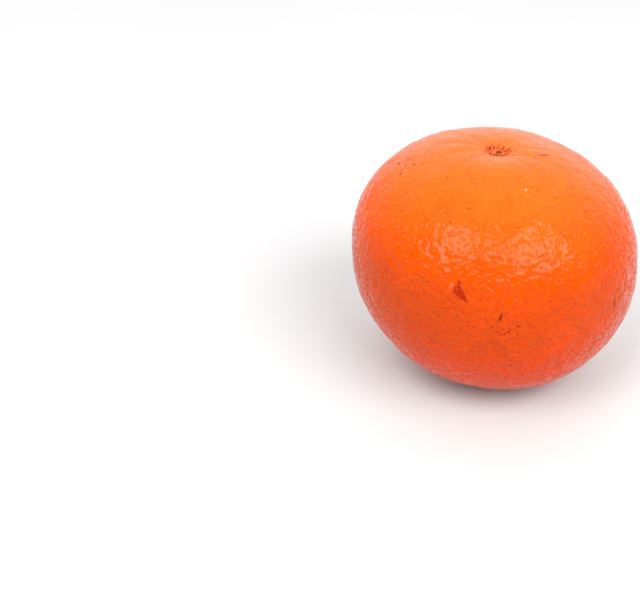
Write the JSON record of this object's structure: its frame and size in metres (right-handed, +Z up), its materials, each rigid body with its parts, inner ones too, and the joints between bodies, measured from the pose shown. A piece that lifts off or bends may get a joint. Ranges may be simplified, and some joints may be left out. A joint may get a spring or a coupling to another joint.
{
  "type": "mandarin",
  "caption": "Whole mandarin: a squat, slightly lopsided citrus fruit with a dry calyx in a shallow hollow, resting on a small flat spot.",
  "frame": {"origin": "centre of the bounding box in X and Y, on the plane of the flat spot that the fruit rests on", "axes": "+Z up through the stem end, +X to the right and -Y to the front; the crown leans a little towards -X"},
  "size_m": [0.068, 0.068, 0.058],
  "materials": {
    "peel": "waxy satin rind with fine oil-gland pores",
    "calyx": "dry, matt and papery"
  },
  "bodies": {
    "root": {"fruit": "peel", "calyx": "calyx"}
  },
  "joints": []
}
